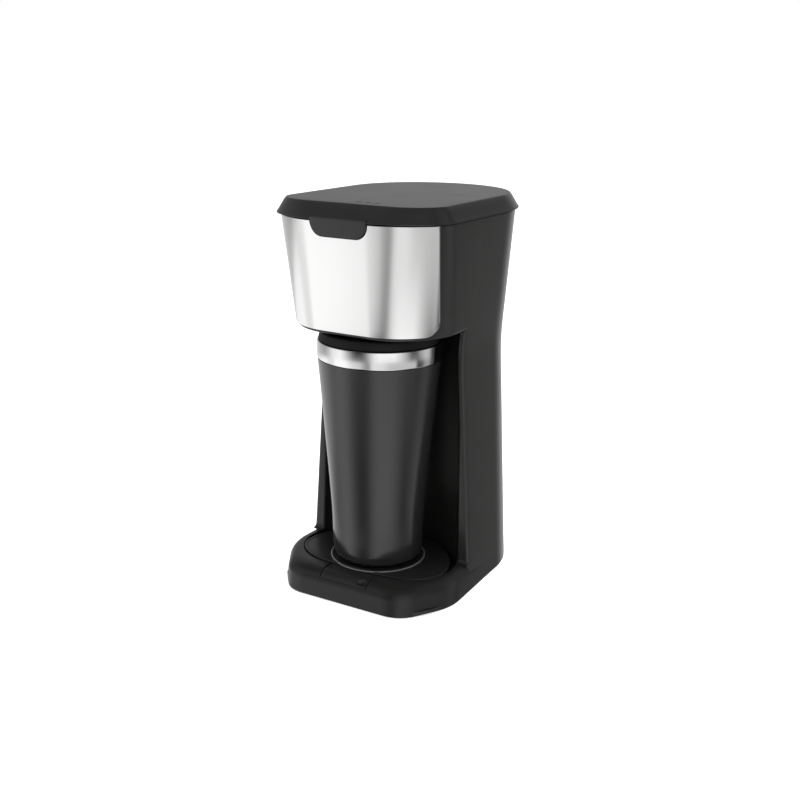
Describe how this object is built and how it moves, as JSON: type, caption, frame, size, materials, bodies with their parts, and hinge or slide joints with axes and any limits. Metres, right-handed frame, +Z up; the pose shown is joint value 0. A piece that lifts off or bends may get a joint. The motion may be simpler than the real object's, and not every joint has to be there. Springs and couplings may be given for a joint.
{
  "type": "drip coffee maker",
  "caption": "Single-serve drip coffee maker: open-front moulded body, curved steel front panel, hinged lid, basket filter, drip tray and a tapered travel mug in its bay.",
  "frame": {"origin": "centre of the whole machine's footprint, on the table under the feet", "axes": "+Z up, -Y towards the user (the steel panel, tray tab and mug face -Y), +X to the right as the user faces it"},
  "size_m": [0.1346, 0.1837, 0.275],
  "materials": {
    "housing_black": "satin moulded black",
    "tray_black": "satin moulded black",
    "lid_black": "satin to semi-gloss moulded black",
    "panel_steel": "fine brushed, semi-bright",
    "filter_black": "moulded black",
    "filter_gold": "fine gold-tone mesh",
    "screw_steel": "plated",
    "foot_rubber": "matte",
    "silicone": "translucent silicone, matte",
    "tank_plastic": "frosted polypropylene",
    "heater_aluminium": "cast",
    "element_steel": "dull sheath",
    "insulator": "off-white, heat resistant",
    "lamp_red": "clear red",
    "mug_black": "satin black with a soft sheen",
    "mug_lid_black": "satin black",
    "mug_steel": "polished stainless"
  },
  "bodies": {
    "housing": {"main_housing": "housing_black", "base_cover": "housing_black", "switch_bezel": "housing_black", "outlet_spout": "housing_black", "drip_tray": "tray_black", "tray_plate": "tray_black", "front_panel": "panel_steel", "hinge_pin": "screw_steel", "cover_screw_1": "screw_steel", "cover_screw_2": "screw_steel", "cover_screw_3": "screw_steel", "cover_screw_4": "screw_steel", "hose_clamp_1": "screw_steel", "hose_clamp_2": "screw_steel", "hose_clamp_3": "screw_steel", "hose_clamp_4": "screw_steel", "foot_1": "foot_rubber", "foot_2": "foot_rubber", "foot_3": "foot_rubber", "foot_4": "foot_rubber", "cord_gland": "foot_rubber", "inlet_hose": "silicone", "outlet_hose": "silicone", "water_reservoir": "tank_plastic", "heater_body": "heater_aluminium", "heating_element": "element_steel", "thermostat": "insulator", "thermal_fuse_1": "insulator", "thermal_fuse_2": "insulator", "terminal_block": "insulator", "check_valve": "insulator", "riser_tube": "insulator"},
    "lid": {"lid_cover": "lid_black", "lid_liner": "lid_black", "lid_gasket": "silicone", "lid_screw_1": "screw_steel", "lid_screw_2": "screw_steel", "lid_screw_3": "screw_steel", "lid_screw_4": "screw_steel"},
    "holder": {"filter_holder": "filter_black"},
    "filter": {"filter_frame": "filter_black", "filter_mesh": "filter_gold"},
    "mug": {"mug_shell": "mug_black", "mug_liner": "mug_steel", "mug_foot_pad": "foot_rubber", "mug_lid": "mug_lid_black", "mug_lid_seal": "silicone"},
    "sip": {"sip_cover": "mug_lid_black"},
    "switch": {"switch_rocker": "housing_black", "switch_lens": "lamp_red"}
  },
  "joints": [
    {"name": "lid_hinge", "type": "hinge", "parent": "housing", "child": "lid", "pos_m": [0, 0.08885, 0.26], "axis": [-1, 0, 0], "range_deg": [0, 100]},
    {"name": "filter_holder_lift", "type": "slide", "parent": "housing", "child": "holder", "axis": [0, 0, 1], "range_m": [0, 0.05]},
    {"name": "filter_lift", "type": "slide", "parent": "holder", "child": "filter", "axis": [0, 0, 1], "range_m": [0, 0.045]},
    {"name": "mug_slide", "type": "slide", "parent": "housing", "child": "mug", "axis": [0, -1, 0], "range_m": [0, 0.11]},
    {"name": "sip_cover_slide", "type": "slide", "parent": "mug", "child": "sip", "axis": [0, 1, 0], "range_m": [0, 0.014]},
    {"name": "switch_rock", "type": "hinge", "parent": "housing", "child": "switch", "pos_m": [-0.06, 0.01715, 0.05], "axis": [0, -1, 0], "range_deg": [0, 12]}
  ],
  "couplings": [
    {"joint": "filter_holder_lift", "follows": "lid_hinge", "m_per_rad": 0.0275},
    {"joint": "filter_lift", "follows": "lid_hinge", "m_per_rad": 0.025}
  ]
}
